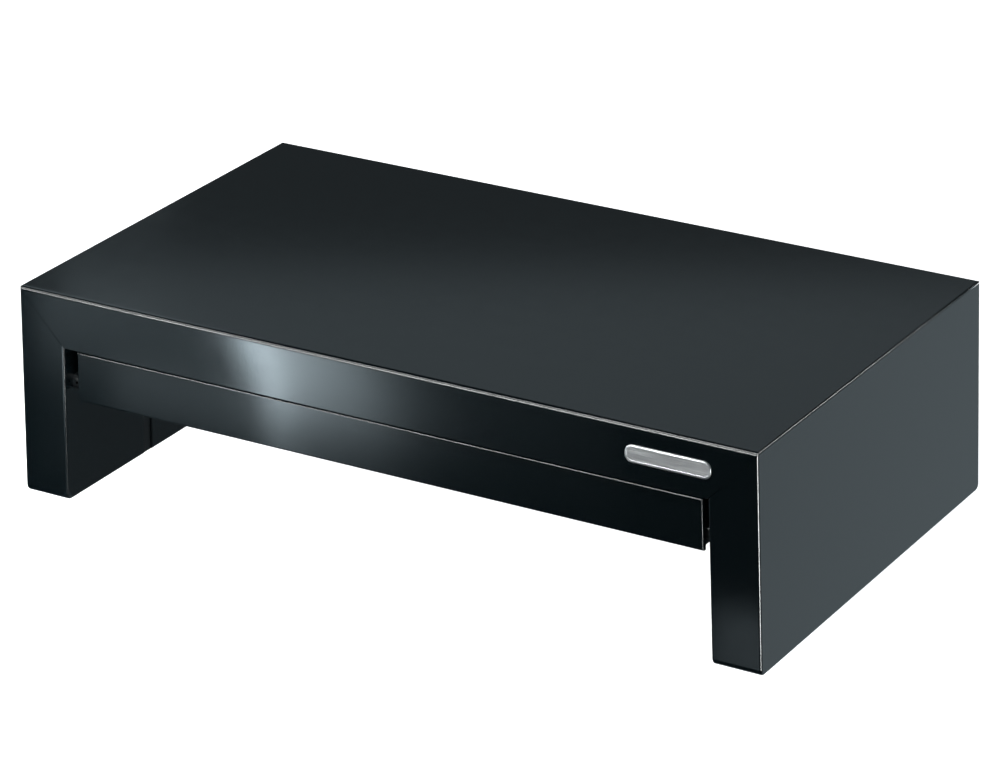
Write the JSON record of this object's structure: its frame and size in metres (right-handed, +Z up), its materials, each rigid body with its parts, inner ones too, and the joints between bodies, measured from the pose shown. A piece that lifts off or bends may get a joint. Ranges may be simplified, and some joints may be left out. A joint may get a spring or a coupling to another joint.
{
  "type": "monitor riser stand",
  "caption": "Desk-top riser for a monitor: a flat hollow deck on two side legs whose sliding feet set the height, with a shallow pull-out drawer on rails under the deck.",
  "frame": {"origin": "on the floor, under the middle of the stand", "axes": "+X to the right of a person facing the drawer front, -Y the front, +Z up"},
  "size_m": [0.4134, 0.2348, 0.1119],
  "materials": {
    "black_shell": "fine satin moulded",
    "black_inner": "plain moulded",
    "pad_rubber": "matte",
    "screw_steel": "zinc plated",
    "badge_silver": "satin silver"
  },
  "bodies": {
    "stand": {"top_deck": "black_shell", "left_leg_casing": "black_shell", "right_leg_casing": "black_shell", "left_rail": "black_inner", "right_rail": "black_inner", "left_leg_screws": "screw_steel", "right_leg_screws": "screw_steel", "left_rail_screws": "screw_steel", "right_rail_screws": "screw_steel", "badge": "badge_silver"},
    "drawer": {"drawer_tray": "black_inner", "drawer_front": "black_shell", "drawer_front_screws": "screw_steel"},
    "left_riser": {"left_foot": "black_inner", "left_front_pad": "pad_rubber", "left_rear_pad": "pad_rubber"},
    "right_riser": {"right_foot": "black_inner", "right_front_pad": "pad_rubber", "right_rear_pad": "pad_rubber"}
  },
  "joints": [
    {"name": "drawer_slide", "type": "slide", "parent": "stand", "child": "drawer", "axis": [0, -1, 0], "range_m": [0, 0.15]},
    {"name": "left_riser_slide", "type": "slide", "parent": "stand", "child": "left_riser", "axis": [-0.0315, 0, -0.9995], "range_m": [0, 0.0413]},
    {"name": "right_riser_slide", "type": "slide", "parent": "stand", "child": "right_riser", "axis": [0.0315, 0, -0.9995], "range_m": [0, 0.0413]}
  ]
}
